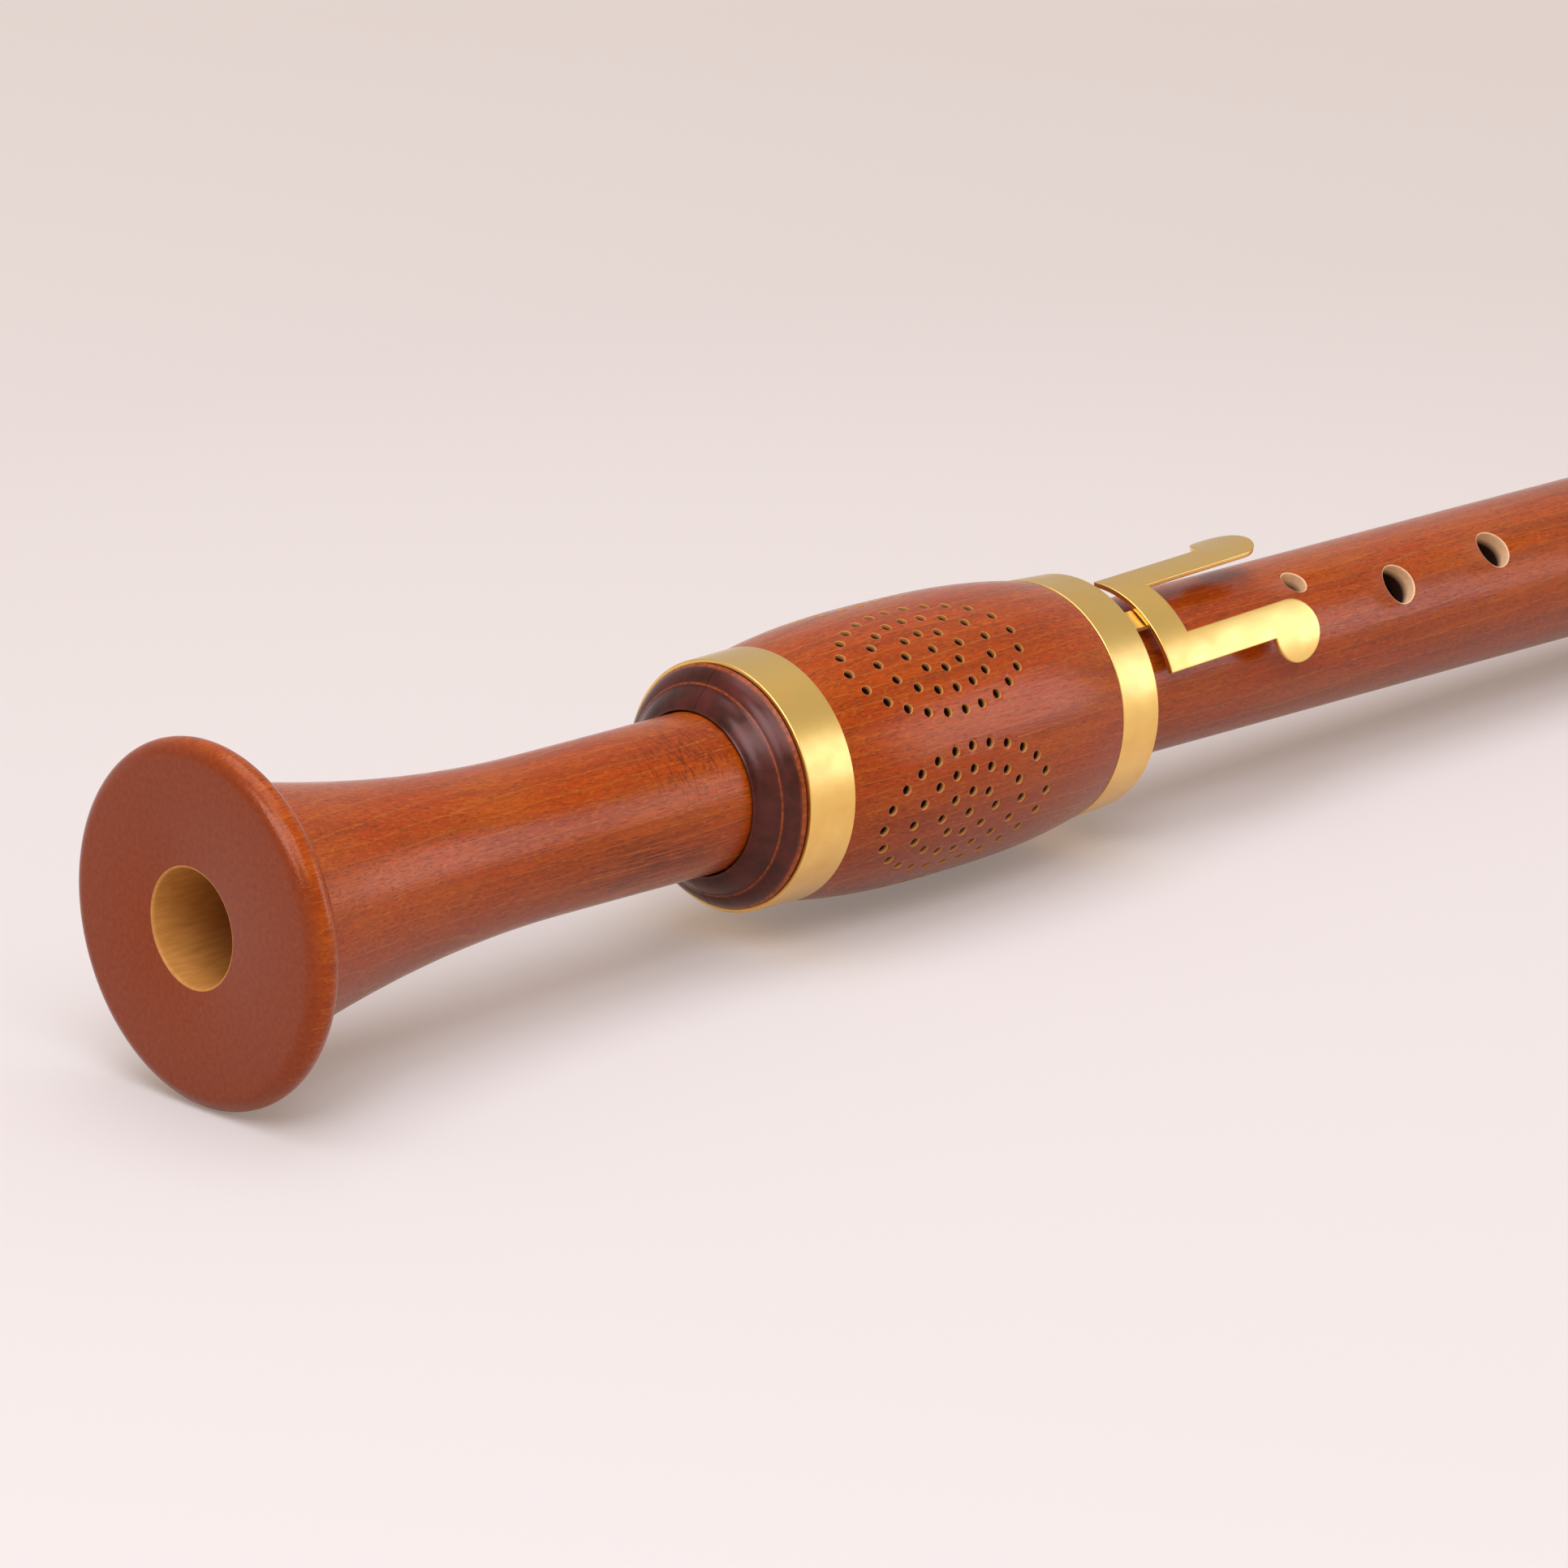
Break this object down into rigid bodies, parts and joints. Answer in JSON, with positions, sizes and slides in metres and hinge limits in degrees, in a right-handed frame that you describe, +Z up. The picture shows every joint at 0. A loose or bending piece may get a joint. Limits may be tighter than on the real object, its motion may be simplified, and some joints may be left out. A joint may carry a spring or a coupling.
{
  "type": "renaissance recorder",
  "caption": "Large renaissance recorder with a flared bell foot, a pierced wooden barrel over its brass-mounted key, a butterfly touch and a beaked head.",
  "frame": {"origin": "on the table under the middle of the instrument's box, as it lies on its bell and its head", "axes": "+X from the bell foot towards the beak, +Z up, and the finger holes and the key's touch face up and towards -Y"},
  "size_m": [0.951, 0.074, 0.074],
  "materials": {
    "stained_pearwood": "stained red-brown, oiled and satin polished",
    "dark_stained_wood": "stained dark maroon, polished",
    "satin_brass": "satin, turned and lightly tarnished",
    "steel_wire": "drawn wire and sprung leaf",
    "pad_leather": "undyed soft leather",
    "tenon_cork": "sanded and greased cork",
    "block_cedar": "unvarnished cedar"
  },
  "bodies": {
    "body": {"body_joint": "stained_pearwood", "collar_half_front": "dark_stained_wood", "collar_half_back": "dark_stained_wood", "tenon_cork": "tenon_cork", "tone_hole_seat": "satin_brass", "flap_saddle": "satin_brass", "saddle_screw_left": "satin_brass", "saddle_screw_right": "satin_brass", "flap_axle": "steel_wire", "touch_axle": "steel_wire"},
    "touch": {"touch_plate": "satin_brass", "touch_lever": "satin_brass"},
    "flap": {"pad_flap": "satin_brass", "leather_pad": "pad_leather", "flap_spring": "steel_wire"},
    "fontanelle": {"fontanelle_barrel": "stained_pearwood", "lower_ring": "satin_brass", "upper_ring": "satin_brass"},
    "head": {"head_joint": "stained_pearwood", "socket_ring": "satin_brass"},
    "block": {"block": "block_cedar"}
  },
  "joints": [
    {"name": "touch_press", "type": "hinge", "parent": "body", "child": "touch", "pos_m": [-0.22571, -0.0118, 0.0497], "axis": [0.0097, 0.8192, 0.5735], "range_deg": [0, 1.8], "stiffness_Nm_per_rad": 0.6, "springref_deg": -1.72},
    {"name": "flap_close", "type": "hinge", "parent": "body", "child": "flap", "pos_m": [-0.2717, -0.01201, 0.05077], "axis": [0.0097, 0.8192, 0.5735], "range_deg": [-5.36, 0]},
    {"name": "fontanelle_slide", "type": "slide", "parent": "body", "child": "fontanelle", "axis": [0.9999, 0, -0.0169], "range_m": [0, 0.0088]},
    {"name": "head_slide", "type": "slide", "parent": "body", "child": "head", "axis": [0.9999, 0, -0.0169], "range_m": [0, 0.032]},
    {"name": "block_slide", "type": "slide", "parent": "head", "child": "block", "axis": [0.9999, 0, -0.0169], "range_m": [0, 0.08]}
  ],
  "couplings": [
    {"joint": "flap_close", "follows": "touch_press", "ratio": -2.9661}
  ]
}
